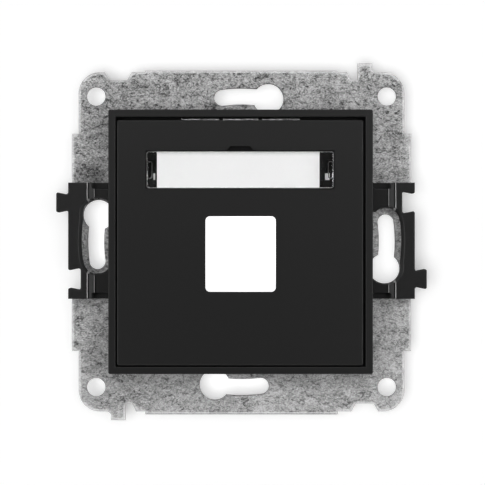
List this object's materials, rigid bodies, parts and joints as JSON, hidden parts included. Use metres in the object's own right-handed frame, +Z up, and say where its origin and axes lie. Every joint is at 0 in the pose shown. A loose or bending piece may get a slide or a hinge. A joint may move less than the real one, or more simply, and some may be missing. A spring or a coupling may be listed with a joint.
{
  "type": "socket module insert",
  "caption": "Flush wall socket insert: black square face with a snap-in jack aperture and a covered label field, in a ring on a galvanised support plate with side couplers.",
  "frame": {"origin": "centre of the four corner screw holes, on the back face of the steel plate, which is the wall plane", "axes": "+Z up as it hangs on the wall, +X to the right seen from the front, -Y out of the wall towards the viewer"},
  "size_m": [0.076, 0.0148, 0.0736],
  "materials": {
    "galvanised_steel": "hot-dip galvanised sheet, dull and mottled, bright at the sheared edges",
    "base_plastic": "black moulded plastic, semi-matt",
    "face_plastic": "black plastic with a fine matt finish",
    "holder_plastic": "black moulded plastic, plain",
    "clear_plastic": "clear moulded plastic, polished",
    "white_paper": "plain white card"
  },
  "bodies": {
    "socket_insert": {"support_plate": "galvanised_steel", "coupler_base": "base_plastic", "trim_ring": "face_plastic", "face_insert": "face_plastic", "label_paper": "white_paper", "module_holder": "holder_plastic"},
    "label_cover": {"label_cover": "clear_plastic"}
  },
  "joints": [
    {"name": "label_cover_pull", "type": "slide", "parent": "socket_insert", "child": "label_cover", "axis": [0, -1, 0], "range_m": [0, 0.008]}
  ]
}
